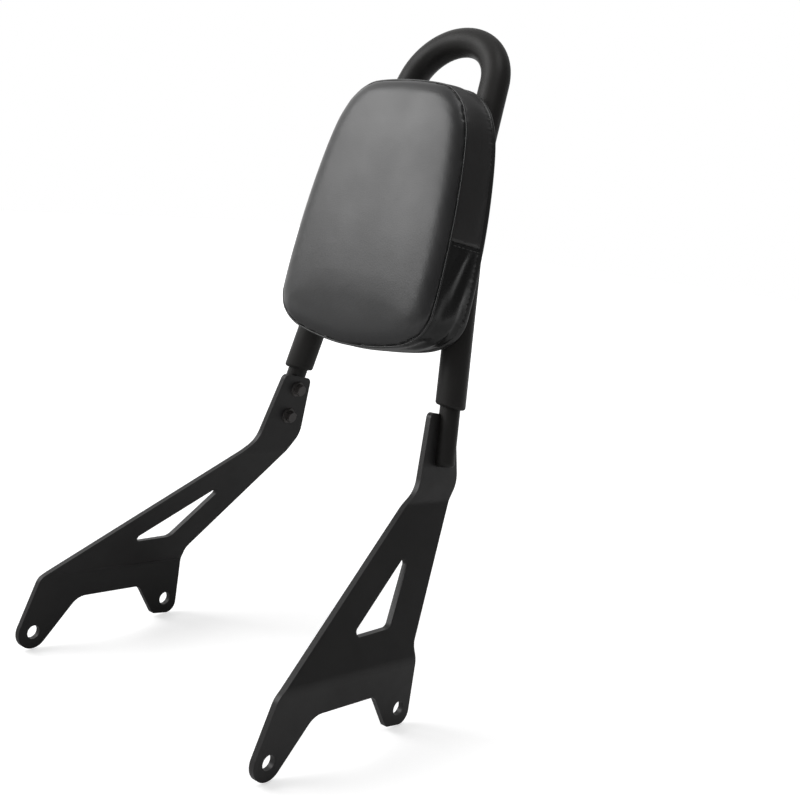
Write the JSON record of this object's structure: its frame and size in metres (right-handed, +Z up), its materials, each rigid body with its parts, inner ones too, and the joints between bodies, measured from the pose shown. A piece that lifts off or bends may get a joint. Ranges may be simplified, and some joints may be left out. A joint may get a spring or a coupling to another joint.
{
  "type": "sissy bar",
  "caption": "Motorcycle passenger backrest: bent tube hoop with a padded cushion, bolted to two folded side plates with fork-shaped feet.",
  "frame": {"origin": "on the middle plane, at the middle of the common axis of the two front mounting holes", "axes": "+X towards the motorcycle's left side, +Y rearward, +Z up; the pad faces -Y"},
  "size_m": [0.249, 0.3013, 0.4729],
  "materials": {
    "frame_coat": "satin black powder coat on the steel tube",
    "plate_coat": "fine matt black powder coat on steel plate",
    "black_fastener": "blackened steel, half matt",
    "zinc": "bright zinc plated steel",
    "vinyl_front": "smooth matt black imitation leather",
    "vinyl_side": "smooth half-gloss black imitation leather",
    "vinyl_piping": "half-gloss black piping",
    "back_cover": "thin black backing cloth",
    "board_wood": "raw plywood",
    "foam": "open-cell upholstery foam"
  },
  "bodies": {
    "root": {"hoop_tube": "frame_coat", "spigot_left": "frame_coat", "spigot_right": "frame_coat", "side_plate_left": "plate_coat", "side_plate_right": "plate_coat", "plate_bolt_upper_left": "black_fastener", "plate_bolt_lower_left": "black_fastener", "plate_bolt_upper_right": "black_fastener", "plate_bolt_lower_right": "black_fastener", "cross_strap_lower": "frame_coat", "cross_strap_upper": "frame_coat", "pad_back_sheet": "back_cover", "pad_board": "board_wood", "pad_foam": "foam", "pad_front_panel": "vinyl_front", "pad_gusset_upper": "vinyl_side", "pad_gusset_lower": "vinyl_side", "pad_piping": "vinyl_piping", "pad_screws_lower": "black_fastener", "pad_screws_upper": "black_fastener", "pad_washers_lower": "zinc", "pad_washers_upper": "zinc", "board_inserts_lower": "zinc", "board_inserts_upper": "zinc"}
  },
  "joints": []
}
